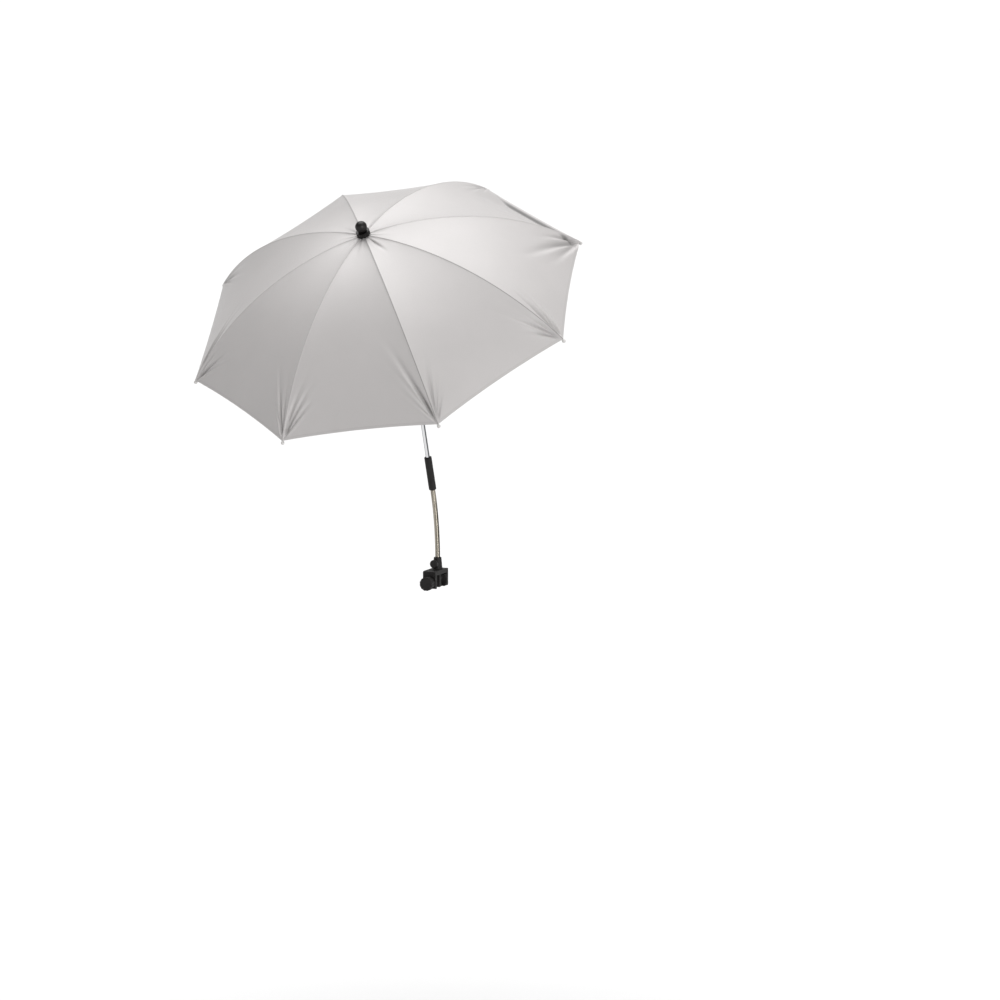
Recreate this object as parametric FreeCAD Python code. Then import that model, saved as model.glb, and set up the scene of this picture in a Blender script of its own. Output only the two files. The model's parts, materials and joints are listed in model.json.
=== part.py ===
import FreeCAD
import Part
import math
import os

V = FreeCAD.Vector

# Canopy and its ribs
tip_circle_radius = 375.0
canopy_drop = 177.0
rib_count = 8
rib_turn_deg = -9.2
cloth_thickness = 0.6
cloth_to_rib = 0.5
seam_half_gap = 0.15
hem_to_tip = 3.5
gore_sag = 5.0
least_sag_share = 0.03
hem_scallop = 5.0
crown_hole_radius = 5.0
rib_radius = 1.5
outer_rib_radius = 1.3
eye_radius = 2.2
eye_thickness = 1.6
eye_hole_radius = 0.85
lap_thickness = 1.1
lap_gap = 0.1
rivet_radius = 0.75
eye_link_length = 7.0
rib_arc_start_radius = 22.0
lug_drop = 5.5
flex_drop = 1.0
rod_end_gap = 2.7
tip_ball_radius = 3.4
tip_neck_radius = 1.7
tip_neck_length = 6.0

# Crown, finial and runner
hinge_ring_radius = 8.0
hinge_wire_radius = 0.6
wire_fit = 0.02
crown_pivot_drop = 6.5
notch_radius = 11.5
notch_top_drop = 1.4
notch_bottom_drop = 11.0
notch_slot = 2.2
slot_floor_radius = 5.2
collar_radius = 12.5
collar_height = 8.0
collar_lift = 0.3
collar_lobe_radius = 3.0
collar_lobe_circle = 14.4
collar_lobes = 10
ball_radius = 10.7
ball_seat = 9.2
stem_radius = 3.25
stem_depth = 16.0
runner_flange_up = 4.3
runner_flange_down = 4.5
runner_sleeve_radius = 6.8
runner_length = 34.0
runner_grip_radius = 10.0
runner_grip_height = 3.0
runner_fit = 0.08

# Stretchers
stretcher_radius = 1.3
fork_gap = 0.8
fork_cheek = 1.0
fork_block_start = 3.4
fork_block_length = 4.0
joint_arc_deg = 19.4
flex_arc_deg = 21.9

# Shaft and tilt joint
tube_radius = 4.0
tube_bore_radius = 3.3
crown_to_tilt = 415.0
canopy_lean_deg = 34.4
shaft_lean_deg = 18.06
lower_tube_length = 94.0
sleeve_length = 66.7
tilt_plate = 5.0
tilt_round = 6.0
tilt_pin_radius = 2.0
tilt_pin_fit = 0.05
tilt_cheek_gap = 0.2
tilt_cheek = 3.4
tilt_neck = 11.0
tilt_shoulder = 9.0
tilt_plug = 18.0
tilt_body_radius = 7.0
pin_head_radius = 3.3
pin_head = 1.2
button_radius = 3.0
button_fit = 0.06
button_out = 2.2
button_length = 7.0
button_bore_depth = 10.5
button_drop = 15.6
fork_base = 11.0
spring_coil_radius = 2.0
spring_wire = 0.35
spring_turns = 4
spring_clear = 0.1

# Latch leaf below the open runner
latch_width = 1.8
latch_height = 13.0
latch_out = 2.6
latch_slot_fit = 0.1
latch_gap = 0.6
latch_back_share = 0.9

# Sleeve between the chrome tube and the gooseneck
sleeve_radius = 7.0
sleeve_chamfer = 0.9
tube_in_sleeve = 32.0
neck_in_sleeve = 24.0

# Gooseneck
neck_radius = 4.75
neck_groove = 0.4
neck_pitch = 2.4
neck_base_height = 44.0
neck_free_length = 134.7
ring_share = 0.5
neck_ball = 4.0
neck_cup = 4.3
neck_cup_rim = 2.9
neck_root_share = 0.77

# Clamp for a round pushchair tube
clamped_tube_radius = 11.0
clamp_width = 26.0
bridge_bottom = 14.0
bridge_top = 22.0
back_leg_in = 13.0
back_leg_out = 19.0
front_leg_in = 30.5
front_leg_out = 37.5
leg_bottom = 11.0
clamp_round = 2.5
pad_margin = 0.5
pad_tip_fixed = 3.0
pad_tip_moving = 8.0
moving_pad_half = 9.0
jaw_front = 13.5
jaw_back = 18.0
jaw_half_height = 10.0
jaw_top_gap = 0.2
screw_radius = 3.5
screw_fit = 0.05
screw_socket = 2.5
nut_radius = 6.0
knob_start = 39.0
knob_length = 14.0
knob_radius = 13.0
knob_flutes = 12
knob_flute_radius = 2.4
knob_flute_circle = 14.4
knob_round = 1.2
knob_screw_depth = 9.0
socket_radius = 9.0
socket_top_radius = 7.2
socket_lift = 0.05
swivel_radius = 3.0
swivel_head_radius = 6.0
swivel_head = 2.6
swivel_recess = 3.0
swivel_top_gap = 0.4
lock_height_share = 0.5
lock_shank_radius = 2.0
lock_head_share = 0.364
lock_head_start = 13.0
lock_head = 6.0
lock_round = 1.8

# Derived canopy numbers, in a frame whose origin is the cloth's centre point
chord = math.hypot(tip_circle_radius, canopy_drop)
half_turn = math.atan2(canopy_drop, tip_circle_radius)
cloth_arc = chord / (2 * math.sin(half_turn))
rib_arc = cloth_arc - cloth_thickness - cloth_to_rib - rib_radius
tip_angle = 2 * half_turn
step_deg = 360.0 / rib_count
joint_angle = math.radians(joint_arc_deg)
flex_angle = math.radians(flex_arc_deg)
AXIS_X = V(1, 0, 0)
AXIS_Y = V(0, 1, 0)
AXIS_Z = V(0, 0, 1)
ORIGIN = V(0, 0, 0)
arc_centre = V(0, 0, -cloth_arc)


def on_arc(radius, angle):
    return V(radius * math.sin(angle), 0, radius * math.cos(angle) - cloth_arc)


crown_pivot = V(hinge_ring_radius, 0, -crown_pivot_drop)
stretcher_joint = on_arc(rib_arc - lug_drop, joint_angle)
flex_joint = on_arc(rib_arc - flex_drop, flex_angle)
runner_pivot = V(hinge_ring_radius, 0, 2 * stretcher_joint.z - crown_pivot.z)


def cylinder(start, direction, radius, length):
    return Part.makeCylinder(radius, length, start, direction)


def rod(start, end, radius):
    return cylinder(start, end - start, radius, (end - start).Length)


def disc_y(centre, radius, low, high):
    return cylinder(centre + V(0, low, 0), AXIS_Y, radius, high - low)


def bar(start, end, half_height, low, high):
    """Flat bar in the rib's plane, from start to end, between two sideways planes."""
    along = end - start
    length = along.Length
    along.normalize()
    side = V(along.z, 0, -along.x)
    corners = []
    for end_share, side_share in ((0, -1), (1, -1), (1, 1), (0, 1)):
        corner = start + along * (length * end_share) + side * (half_height * side_share)
        corners.append(corner + V(0, low, 0))
    corners.append(corners[0])
    return Part.Face(Part.makePolygon(corners)).extrude(V(0, high - low, 0))


def arc_rod(radius, thickness, first, last):
    """Round rod along the rib's arc between two angles."""
    start = on_arc(radius, first)
    tangent = V(math.cos(first), 0, -math.sin(first))
    edge = Part.makeCircle(thickness, start, tangent)
    face = Part.Face(Part.Wire([edge]))
    return face.revolve(arc_centre, AXIS_Y, math.degrees(last - first))


def join(shapes):
    whole = shapes[0].fuse(shapes[1:])
    return whole.removeSplitter()


def inner_rib():
    start_angle = math.asin(rib_arc_start_radius / rib_arc)
    start = on_arc(rib_arc, start_angle)
    toward = (start - crown_pivot).normalize()
    link_end = crown_pivot + toward * eye_link_length
    half_eye = eye_thickness / 2
    gap_angle = rod_end_gap / rib_arc
    rod_end = on_arc(rib_arc, flex_angle - gap_angle)
    lug_top = on_arc(rib_arc, joint_angle)
    pieces = [
        disc_y(crown_pivot, eye_radius, -half_eye, half_eye),
        bar(crown_pivot, link_end + toward * rib_radius, rib_radius, -half_eye, half_eye),
        rod(link_end, start, rib_radius),
        Part.makeSphere(rib_radius, start),
        arc_rod(rib_arc, rib_radius, start_angle, flex_angle - gap_angle),
        disc_y(stretcher_joint, eye_radius, -fork_gap + lap_gap * 2, fork_gap - lap_gap * 2),
        bar(stretcher_joint, lug_top, rib_radius, -fork_gap + lap_gap * 2, fork_gap - lap_gap * 2),
        disc_y(flex_joint, eye_radius, lap_gap, lap_gap + lap_thickness),
        bar(rod_end - V(rib_radius, 0, 0), flex_joint, rib_radius, lap_gap, lap_gap + lap_thickness),
        disc_y(flex_joint, rivet_radius, -lap_gap - lap_thickness, lap_gap),
    ]
    whole = join(pieces)
    half = rib_radius + fork_gap
    whole = whole.cut(disc_y(crown_pivot, eye_hole_radius, -half, half))
    return whole.cut(disc_y(stretcher_joint, eye_hole_radius, -half, half))


def outer_rib():
    gap_angle = rod_end_gap / rib_arc
    first = flex_angle + gap_angle
    lap = (-lap_gap - lap_thickness, -lap_gap)
    rod_start = on_arc(rib_arc, first)
    wire = join([
        arc_rod(rib_arc, outer_rib_radius, first, tip_angle),
        disc_y(flex_joint, eye_radius, lap[0], lap[1]),
        bar(flex_joint, rod_start + V(outer_rib_radius, 0, 0), outer_rib_radius, lap[0], lap[1]),
    ])
    wire = wire.cut(disc_y(flex_joint, eye_hole_radius, -rib_radius, rib_radius))
    end = on_arc(rib_arc, tip_angle)
    back = V(-math.cos(tip_angle), 0, math.sin(tip_angle))
    tip_neck = cylinder(end, back, tip_neck_radius, tip_neck_length)
    tip = join([Part.makeSphere(tip_ball_radius, end), tip_neck])
    return Part.makeCompound([wire, tip.cut(wire)])


def stretcher():
    toward = (runner_pivot - stretcher_joint).normalize()
    cheek_out = fork_gap + fork_cheek
    block_start = stretcher_joint + toward * fork_block_start
    block_end = block_start + toward * fork_block_length
    link_end = runner_pivot - toward * eye_link_length
    half_eye = eye_thickness / 2
    pieces = [
        disc_y(stretcher_joint, rivet_radius, -cheek_out, cheek_out),
        bar(block_start, block_end, stretcher_radius, -cheek_out, cheek_out),
        rod(block_start, link_end, stretcher_radius),
        bar(link_end - toward * stretcher_radius, runner_pivot, stretcher_radius, -half_eye, half_eye),
        disc_y(runner_pivot, eye_radius, -half_eye, half_eye),
    ]
    for low, high in ((-cheek_out, -fork_gap), (fork_gap, cheek_out)):
        pieces.append(disc_y(stretcher_joint, eye_radius, low, high))
        cheek_end = block_start + toward * stretcher_radius
        pieces.append(bar(stretcher_joint, cheek_end, stretcher_radius, low, high))
    whole = join(pieces)
    return whole.cut(disc_y(runner_pivot, eye_hole_radius, -rib_radius, rib_radius))


# Canopy cloth: one thin solid for each gore, taut along the ribs and sagging between them
def gore_skin(depth):
    """One face of a gore, a given depth below the outer one."""
    half = math.radians(step_deg / 2)
    hem_angle = tip_angle - hem_to_tip / cloth_arc
    first_angle = crown_hole_radius / cloth_arc
    sections = []
    section_shares = (0, 0.12, 0.3, 0.5, 0.7, 0.87, 1)
    for share in section_shares:
        angle = first_angle + (hem_angle - first_angle) * share
        mid_angle = angle - hem_scallop / cloth_arc * share ** 3
        edge_point = on_arc(cloth_arc - depth, angle)
        middle = on_arc(cloth_arc - depth, mid_angle)
        sag = gore_sag * (least_sag_share + math.sin(math.pi * share ** 0.8) + share / 2)
        across = middle.x * math.cos(half)
        aside = edge_point.x * math.sin(half) - seam_half_gap
        left = V(edge_point.x * math.cos(half), -aside, edge_point.z)
        right = V(left.x, -left.y, left.z)
        lower = V(across - sag * math.sin(mid_angle), 0, middle.z - sag * math.cos(mid_angle))
        sections.append(Part.Wire([Part.Arc(left, lower, right).toShape()]))
    return Part.makeLoft(sections, False, False).Faces[0]


def gore():
    outer = gore_skin(0)
    inner = gore_skin(cloth_thickness)
    faces = [outer, inner]
    for upper_edge, lower_edge in zip(outer.Edges, inner.Edges):
        faces.append(Part.makeRuledSurface(upper_edge, lower_edge))
    shell = Part.makeShell(faces)
    shell.sewShape()
    solid = Part.makeSolid(shell)
    if solid.Volume < 0:
        solid.reverse()
    return solid


def ring_copies(shape, turn_deg):
    copies = []
    for index in range(rib_count):
        copy = shape.copy()
        copy.rotate(ORIGIN, AXIS_Z, turn_deg + index * step_deg)
        copies.append(copy)
    return copies


def slotted_hub(radius, low, high, bore, slot_low, slot_high, pivot_height):
    hub = cylinder(V(0, 0, low), AXIS_Z, radius, high - low)
    hub = hub.cut(cylinder(V(0, 0, low), AXIS_Z, bore, high - low))
    slot_corner = V(slot_floor_radius, -notch_slot / 2, slot_low)
    slot = Part.makeBox(radius * 2, notch_slot, slot_high - slot_low, slot_corner)
    hub = hub.cut(ring_copies(slot, rib_turn_deg))
    tunnel = Part.makeTorus(hinge_ring_radius, hinge_wire_radius + wire_fit, V(0, 0, pivot_height))
    return hub.cut(tunnel)


def fluted_disc(radius, height, flutes, flute_radius, flute_circle):
    disc = cylinder(ORIGIN, AXIS_Z, radius, height)
    cutters = []
    for index in range(flutes):
        angle = 2 * math.pi * index / flutes
        centre = V(flute_circle * math.cos(angle), flute_circle * math.sin(angle), 0)
        cutters.append(cylinder(centre, AXIS_Z, flute_radius, height))
    return disc.cut(cutters)


# Pieces in the canopy frame
canopy_nodes = {}
for number, copy in enumerate(ring_copies(inner_rib(), rib_turn_deg), start=1):
    canopy_nodes["rib_%d_inner" % number] = copy
for number, copy in enumerate(ring_copies(outer_rib(), rib_turn_deg), start=1):
    canopy_nodes["rib_%d_outer" % number] = copy
for number, copy in enumerate(ring_copies(stretcher(), rib_turn_deg), start=1):
    canopy_nodes["stretcher_%d" % number] = copy
canopy_nodes["canopy"] = Part.makeCompound(ring_copies(gore(), rib_turn_deg + step_deg / 2))

canopy_nodes["crown_notch"] = slotted_hub(
    notch_radius, -notch_bottom_drop, -notch_top_drop, tube_radius,
    -notch_bottom_drop, -notch_top_drop, -crown_pivot_drop)
crown_ring_centre = V(0, 0, -crown_pivot_drop)
canopy_nodes["crown_wire"] = Part.makeTorus(hinge_ring_radius, hinge_wire_radius, crown_ring_centre)
collar = fluted_disc(collar_radius, collar_height, collar_lobes, collar_lobe_radius, collar_lobe_circle)
collar.translate(V(0, 0, collar_lift))
collar_top = collar_lift + collar_height
canopy_nodes["finial_collar"] = collar.cut(cylinder(ORIGIN, AXIS_Z, stem_radius, collar_top))
ball_centre = V(0, 0, collar_top + ball_seat)
ball = Part.makeSphere(ball_radius, ball_centre)
ball_width = ball_radius * 2
ball_box = Part.makeBox(ball_width, ball_width, ball_width, V(-ball_radius, -ball_radius, collar_top))
ball_stem = cylinder(V(0, 0, -stem_depth), AXIS_Z, stem_radius, stem_depth + ball_centre.z)
canopy_nodes["finial_knob"] = join([ball.common(ball_box), ball_stem])

tube_top = -notch_top_drop
tongue_top = -crown_to_tilt + tilt_neck + tilt_shoulder
upper_tube = cylinder(V(0, 0, tongue_top), AXIS_Z, tube_radius, tube_top - tongue_top)
upper_tube = upper_tube.cut(cylinder(V(0, 0, tongue_top), AXIS_Z, tube_bore_radius, tube_top - tongue_top))
runner_bottom = runner_pivot.z - runner_flange_down - runner_length
latch_top = runner_bottom - latch_gap
slot_half = latch_width / 2 + latch_slot_fit
latch_slot = Part.makeBox(tube_radius * 2, slot_half * 2, latch_height + latch_slot_fit * 2,
                          V(0, -slot_half, latch_top - latch_height - latch_slot_fit))
latch_turn = rib_turn_deg + step_deg / 2
latch_slot.rotate(ORIGIN, AXIS_Z, latch_turn)
canopy_nodes["upper_shaft_tube"] = upper_tube.cut(latch_slot)
latch_corners = (
    V(-tube_bore_radius * latch_back_share, 0, latch_top),
    V(tube_radius + latch_out, 0, latch_top),
    V(tube_radius, 0, latch_top - latch_height),
    V(-tube_bore_radius * latch_back_share, 0, latch_top - latch_height),
    V(-tube_bore_radius * latch_back_share, 0, latch_top),
)
latch = Part.Face(Part.makePolygon(list(latch_corners))).extrude(V(0, latch_width, 0))
latch.translate(V(0, -latch_width / 2, 0))
latch.rotate(ORIGIN, AXIS_Z, latch_turn)
canopy_nodes["runner_catch"] = latch

flange_top = runner_pivot.z + runner_flange_up
flange_bottom = runner_pivot.z - runner_flange_down
runner_bore = tube_radius + runner_fit
runner_hub = slotted_hub(
    notch_radius, flange_bottom, flange_top, runner_bore, flange_bottom, flange_top, runner_pivot.z)
runner_sleeve = cylinder(V(0, 0, runner_bottom), AXIS_Z, runner_sleeve_radius, runner_length)
runner_grip = cylinder(V(0, 0, runner_bottom), AXIS_Z, runner_grip_radius, runner_grip_height)
runner_body = join([runner_hub, runner_sleeve, runner_grip])
runner_hole = cylinder(V(0, 0, runner_bottom), AXIS_Z, runner_bore, runner_length * 2)
canopy_nodes["runner"] = runner_body.cut(runner_hole)
canopy_nodes["runner_wire"] = Part.makeTorus(hinge_ring_radius, hinge_wire_radius, V(0, 0, runner_pivot.z))

# Tongue of the tilt joint, with its pivot line across the shaft
tongue_pivot = V(0, 0, -crown_to_tilt)
half_plate = tilt_plate / 2
plate = join([
    cylinder(tongue_pivot - V(half_plate, 0, 0), AXIS_X, tilt_round, tilt_plate),
    Part.makeBox(tilt_plate, tilt_round * 2, tilt_neck, tongue_pivot - V(half_plate, tilt_round, 0)),
    cylinder(tongue_pivot + V(0, 0, tilt_neck), AXIS_Z, tilt_body_radius, tilt_shoulder),
    cylinder(tongue_pivot + V(0, 0, tilt_neck), AXIS_Z, tube_bore_radius, tilt_shoulder + tilt_plug),
])
pin_room = tilt_pin_radius + tilt_pin_fit
pin_hole = cylinder(tongue_pivot - V(tilt_plate, 0, 0), AXIS_X, pin_room, tilt_plate * 2)
canopy_nodes["tilt_tongue"] = plate.cut(pin_hole)

# Pieces in the shaft frame, whose origin is the tilt pivot and whose z runs up the lower shaft
shaft_nodes = {}
cheek_in = half_plate + tilt_cheek_gap
cheek_out = cheek_in + tilt_cheek
fork_pieces = [cylinder(V(0, 0, -tilt_neck - fork_base), AXIS_Z, tilt_body_radius, fork_base)]
plug_foot = V(0, 0, -tilt_neck - fork_base - tilt_plug)
fork_pieces.append(cylinder(plug_foot, AXIS_Z, tube_bore_radius, tilt_plug))
for low in (cheek_in, -cheek_out):
    fork_pieces.append(cylinder(V(low, 0, 0), AXIS_X, tilt_round, tilt_cheek))
    leg = Part.makeBox(tilt_cheek, tilt_round * 2, tilt_neck, V(low, -tilt_round, -tilt_neck))
    round_leg = cylinder(V(0, 0, -tilt_neck), AXIS_Z, tilt_body_radius + tilt_cheek_gap, tilt_neck)
    fork_pieces.append(leg.common(round_leg))
fork = join(fork_pieces)
fork = fork.cut(cylinder(V(-cheek_out, 0, 0), AXIS_X, tilt_pin_radius, cheek_out * 2))
button_front = V(0, -tilt_body_radius, -button_drop)
button_bore = cylinder(button_front, AXIS_Y, button_radius + button_fit, button_bore_depth)
shaft_nodes["tilt_fork"] = fork.cut(button_bore)
pin_pieces = [cylinder(V(-cheek_out, 0, 0), AXIS_X, tilt_pin_radius, cheek_out * 2)]
for side in (-1, 1):
    pin_pieces.append(cylinder(V(side * cheek_out, 0, 0), V(side, 0, 0), pin_head_radius, pin_head))
shaft_nodes["tilt_pin"] = join(pin_pieces)
button = cylinder(button_front - V(0, button_out, 0), AXIS_Y, button_radius, button_length)
shaft_nodes["tilt_button"] = button.makeFillet(button_out / 3, [button.Edges[0]])
spring_room = button_bore_depth + button_out - button_length - spring_wire * 2 - spring_clear * 2
helix = Part.makeHelix(spring_room / spring_turns, spring_room, spring_coil_radius)
coil = Part.Wire([Part.makeCircle(spring_wire, V(spring_coil_radius, 0, 0), AXIS_Y)])
spring = Part.Wire(helix.Edges).makePipeShell([coil], True, True)
spring.rotate(ORIGIN, AXIS_X, -90)
spring.translate(button_front + V(0, button_length - button_out + spring_wire + spring_clear, 0))
shaft_nodes["tilt_spring"] = spring
tube_low = -tilt_neck - fork_base
tube_foot = -lower_tube_length - tube_in_sleeve
lower_tube = cylinder(V(0, 0, tube_foot), AXIS_Z, tube_radius, tube_low - tube_foot)
lower_hole = cylinder(V(0, 0, tube_foot), AXIS_Z, tube_bore_radius, tube_low - tube_foot)
shaft_nodes["lower_shaft_tube"] = lower_tube.cut(lower_hole)

sleeve_foot = -lower_tube_length - sleeve_length
sleeve = cylinder(V(0, 0, sleeve_foot), AXIS_Z, sleeve_radius, sleeve_length)
sleeve = sleeve.makeChamfer(sleeve_chamfer, [e for e in sleeve.Edges if len(e.Vertexes) == 1])
sleeve = sleeve.cut(cylinder(V(0, 0, tube_foot), AXIS_Z, tube_radius, tube_in_sleeve))
neck_hole = cylinder(V(0, 0, sleeve_foot), AXIS_Z, neck_radius, neck_in_sleeve)
shaft_nodes["connector_sleeve"] = sleeve.cut(neck_hole)


# Gooseneck: a bent core with a ring for each turn of its wire, parted at a ball and cup joint
shaft_lean = math.radians(shaft_lean_deg)
neck_bend_radius = neck_free_length / shaft_lean
bend_centre = V(0, -neck_bend_radius, neck_base_height)
core_radius = neck_radius - neck_groove


def on_neck(angle):
    lift = V(0, neck_bend_radius * math.cos(angle), neck_bend_radius * math.sin(angle))
    return bend_centre + lift


def neck_core(start, end):
    """The bent core between two angles of its bend."""
    face = Part.Face(Part.Wire(Part.makeCircle(core_radius, V(0, 0, neck_base_height), AXIS_Z)))
    face.rotate(bend_centre, AXIS_X, math.degrees(start))
    return face.revolve(bend_centre, AXIS_X, math.degrees(end - start))


def neck_ring(angle):
    """One turn of the wire, square to the bent core."""
    ring = cylinder(V(0, 0, neck_base_height - ring_thickness / 2), AXIS_Z, neck_radius, ring_thickness)
    ring.rotate(bend_centre, AXIS_X, math.degrees(angle))
    return ring


def neck_rings(start, end):
    count = int((end - start) * neck_bend_radius / neck_pitch)
    step = (end - start) / count
    return [neck_ring(start + step * (index + 0.5)) for index in range(count)]


ring_thickness = neck_pitch * ring_share
joint_angle = shaft_lean / 2
neck_joint = on_neck(joint_angle)
neck_top = on_neck(shaft_lean)
rim_angle = joint_angle + neck_cup_rim / neck_bend_radius
socket_bottom = bridge_top + socket_lift
socket_height = neck_base_height - socket_bottom
neck_root_depth = socket_height * neck_root_share
root_foot = neck_base_height - neck_root_depth
up_shaft = V(0, -math.sin(shaft_lean), math.cos(shaft_lean))

nodes = {}
lower_neck = [
    cylinder(V(0, 0, root_foot), AXIS_Z, neck_radius, neck_root_depth),
    neck_core(0, joint_angle),
    Part.makeSphere(neck_ball, neck_joint),
]
nodes["neck_lower"] = join(lower_neck + neck_rings(0, joint_angle))
upper_neck = [
    cylinder(neck_top, up_shaft, neck_radius, neck_in_sleeve),
    neck_core(rim_angle, shaft_lean),
]
upper_neck = join(upper_neck + neck_rings(rim_angle, shaft_lean))
nodes["neck_upper"] = upper_neck.cut(Part.makeSphere(neck_cup, neck_joint))

# Clamp
half_width = clamp_width / 2
clamp_outline = (
    V(-half_width, back_leg_out, -leg_bottom),
    V(-half_width, back_leg_out, bridge_top),
    V(-half_width, -front_leg_out, bridge_top),
    V(-half_width, -front_leg_out, -leg_bottom),
    V(-half_width, -front_leg_in, -leg_bottom),
    V(-half_width, -front_leg_in, bridge_bottom),
    V(-half_width, back_leg_in, bridge_bottom),
    V(-half_width, back_leg_in, -leg_bottom),
    V(-half_width, back_leg_out, -leg_bottom),
)
frame = Part.Face(Part.makePolygon(list(clamp_outline))).extrude(V(clamp_width, 0, 0))
outer_edges = []
for edge in frame.Edges:
    middle = edge.CenterOfMass
    if abs(middle.x) < half_width / 2 and (middle.z > bridge_bottom + clamp_round or middle.z < 0):
        outer_edges.append(edge)
frame = frame.makeFillet(clamp_round, outer_edges)
frame = frame.cut(cylinder(V(0, -front_leg_out, 0), AXIS_Y, nut_radius, front_leg_out - front_leg_in))
frame = frame.cut(cylinder(V(0, 0, bridge_bottom), AXIS_Z, swivel_radius, bridge_top - bridge_bottom))
nodes["clamp_body"] = frame.cut(cylinder(V(0, 0, bridge_bottom), AXIS_Z, swivel_head_radius, swivel_recess))
nut = cylinder(V(0, -front_leg_out, 0), AXIS_Y, nut_radius, front_leg_out - front_leg_in)
nut_bore = cylinder(V(0, -front_leg_out, 0), AXIS_Y, screw_radius + screw_fit, front_leg_out)
nodes["screw_nut"] = nut.cut(nut_bore)
held_tube = cylinder(V(-clamp_width, 0, 0), AXIS_X, clamped_tube_radius, clamp_width * 2)
pad_width = clamp_width - pad_margin * 2
fixed_pad_corner = V(-pad_width / 2, pad_tip_fixed, -leg_bottom)
fixed_pad = Part.makeBox(pad_width, back_leg_in - pad_tip_fixed, leg_bottom * 2, fixed_pad_corner)
nodes["fixed_jaw_pad"] = fixed_pad.cut(held_tube)
moving_pad = Part.makeBox(pad_width, jaw_front - pad_tip_moving, moving_pad_half * 2,
                          V(-pad_width / 2, -jaw_front, -moving_pad_half))
nodes["moving_jaw_pad"] = moving_pad.cut(held_tube)
jaw_height = jaw_half_height + bridge_bottom - jaw_top_gap
jaw_corner = V(-pad_width / 2, -jaw_back, -jaw_half_height)
jaw = Part.makeBox(pad_width, jaw_back - jaw_front, jaw_height, jaw_corner)
jaw_socket = cylinder(V(0, -jaw_back, 0), AXIS_Y, screw_radius + screw_fit, screw_socket)
nodes["moving_jaw"] = jaw.cut(jaw_socket)
screw_tip = -jaw_back + screw_socket
screw_end = -knob_start - knob_screw_depth
nodes["clamp_screw"] = cylinder(V(0, screw_end, 0), AXIS_Y, screw_radius, screw_tip - screw_end)
knob_blank = cylinder(ORIGIN, AXIS_Z, knob_radius, knob_length)
knob_blank = knob_blank.makeFillet(knob_round, [e for e in knob_blank.Edges if len(e.Vertexes) == 1])
knob_flutes_disc = fluted_disc(knob_radius, knob_length, knob_flutes, knob_flute_radius, knob_flute_circle)
knob = knob_blank.common(knob_flutes_disc)
knob.rotate(ORIGIN, AXIS_X, 90)
knob.translate(V(0, -knob_start, 0))
nodes["clamp_knob"] = knob.cut(nodes["clamp_screw"])

# Socket that carries the gooseneck and turns on the clamp
socket = Part.makeCone(socket_radius, socket_top_radius, socket_height, V(0, 0, socket_bottom), AXIS_Z)
socket = socket.cut(cylinder(V(0, 0, root_foot), AXIS_Z, neck_radius, neck_root_depth))
swivel_hole = cylinder(V(0, 0, socket_bottom), AXIS_Z, swivel_radius + screw_fit, root_foot - socket_bottom)
socket = socket.cut(swivel_hole)
lock_height = socket_bottom + socket_height * lock_height_share
lock_head_radius = socket_height * lock_head_share
lock_line = V(0, -neck_radius, lock_height)
lock_reach = lock_head_start - neck_radius
nodes["arm_socket"] = socket.cut(cylinder(lock_line, -AXIS_Y, lock_shank_radius, lock_reach))
lock_disc = cylinder(lock_line - V(0, lock_reach, 0), -AXIS_Y, lock_head_radius, lock_head)
lock_disc = lock_disc.makeFillet(lock_round, [e for e in lock_disc.Edges if len(e.Vertexes) == 1])
lock_shank = cylinder(lock_line, -AXIS_Y, lock_shank_radius, lock_reach + lock_round)
nodes["lock_screw"] = join([lock_shank, lock_disc])
bolt_low = bridge_bottom + swivel_recess - swivel_head
bolt = join([
    cylinder(V(0, 0, bolt_low), AXIS_Z, swivel_head_radius, swivel_head),
    cylinder(V(0, 0, bolt_low), AXIS_Z, swivel_radius, root_foot - swivel_top_gap - bolt_low),
])
nodes["swivel_bolt"] = bolt

# Stand everything in the part's frame
tilt_pivot = neck_top + up_shaft * (sleeve_length + lower_tube_length)
canopy_lean = math.radians(canopy_lean_deg)
up_canopy = V(0, -math.sin(canopy_lean), math.cos(canopy_lean))
crown = tilt_pivot + up_canopy * crown_to_tilt
for name, shape in shaft_nodes.items():
    shape.rotate(ORIGIN, AXIS_X, shaft_lean_deg)
    shape.translate(tilt_pivot)
    nodes[name] = shape
for name, shape in canopy_nodes.items():
    shape.rotate(ORIGIN, AXIS_X, canopy_lean_deg)
    shape.translate(crown)
    nodes[name] = shape

os.makedirs("parts", exist_ok=True)
for name in sorted(nodes):
    shape = nodes[name]
    print(name, "solids", len(shape.Solids), "valid", shape.isValid(), "volume", round(shape.Volume, 1))
    shape.exportStep("parts/" + name + ".step")
print("neck joint", tuple(round(c, 4) for c in neck_joint))
print("neck top", tuple(round(c, 4) for c in neck_top))
print("tilt pivot", tuple(round(c, 4) for c in tilt_pivot), "crown", tuple(round(c, 4) for c in crown))
print("crown pivot", crown_pivot, "stretcher joint", stretcher_joint)
print("flex", flex_joint, "runner pivot", runner_pivot)
print("cloth arc", cloth_arc, "rib arc", rib_arc, "tip angle", math.degrees(tip_angle))
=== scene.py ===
# %% [markdown]
# # A clamp-on parasol, dressed on its CAD frame
# The packed CAD model gives every tube, rib and joint its real place and size, in metres. This lesson
# leaves those solids where they are, gives each one a finish, and replaces the soft or wound ones with
# better meshes: the cloth, the gooseneck, the screw thread and the button's spring.

# %% Load the fixed frame
import bpy
import json
import math
from mathutils import Matrix, Vector


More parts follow.
